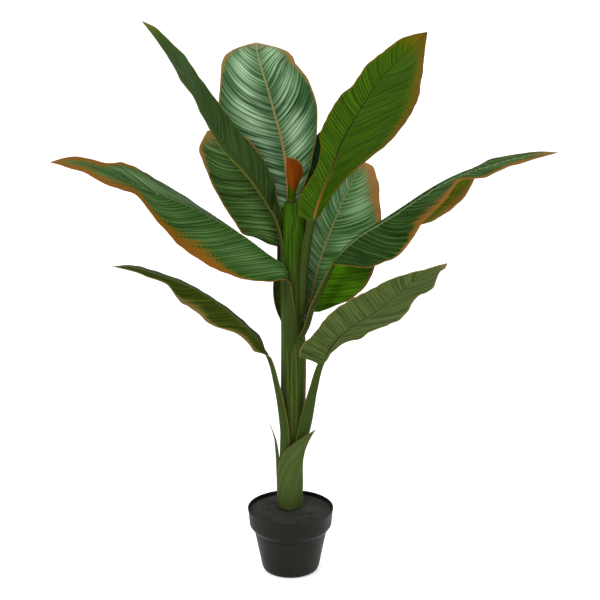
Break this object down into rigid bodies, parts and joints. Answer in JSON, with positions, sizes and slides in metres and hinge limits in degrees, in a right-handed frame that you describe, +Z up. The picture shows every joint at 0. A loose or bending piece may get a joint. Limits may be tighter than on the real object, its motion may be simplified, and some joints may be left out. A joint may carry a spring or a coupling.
{
  "type": "potted canna",
  "caption": "Broad-leaved canna with arching paddle leaves on a wrapped stem, standing in a black nursery pot filled with dark grit.",
  "frame": {"origin": "centre of the pot's foot, on the surface that the pot stands on", "axes": "+Z up; +X to the right and -Y towards the viewer as the plant is usually seen"},
  "size_m": [0.9077, 0.4236, 1.0857],
  "materials": {
    "pot": "satin black, faint scuffs",
    "grit": "rough dark granules",
    "stem": "ribbed olive-green sheaths, satin",
    "leaf": "veined green blade with a tan midrib and rusty margins, semi-gloss",
    "leaf_low": "veined olive-green blade, semi-gloss",
    "leaf_young": "rolled orange-brown blade, satin",
    "bract": "pale olive, finely ridged, satin"
  },
  "bodies": {
    "root": {"pot": "pot", "grit": "grit", "stem": "stem", "leaf_top_left": "leaf", "leaf_top_middle": "leaf", "leaf_top_right": "leaf", "leaf_back_right": "leaf", "leaf_back_left": "leaf", "leaf_left": "leaf", "leaf_low_left": "leaf_low", "leaf_right_back": "leaf", "leaf_right": "leaf", "leaf_low_right": "leaf_low", "leaf_young": "leaf_young", "bract_front": "bract", "bract_side": "bract"}
  },
  "joints": []
}
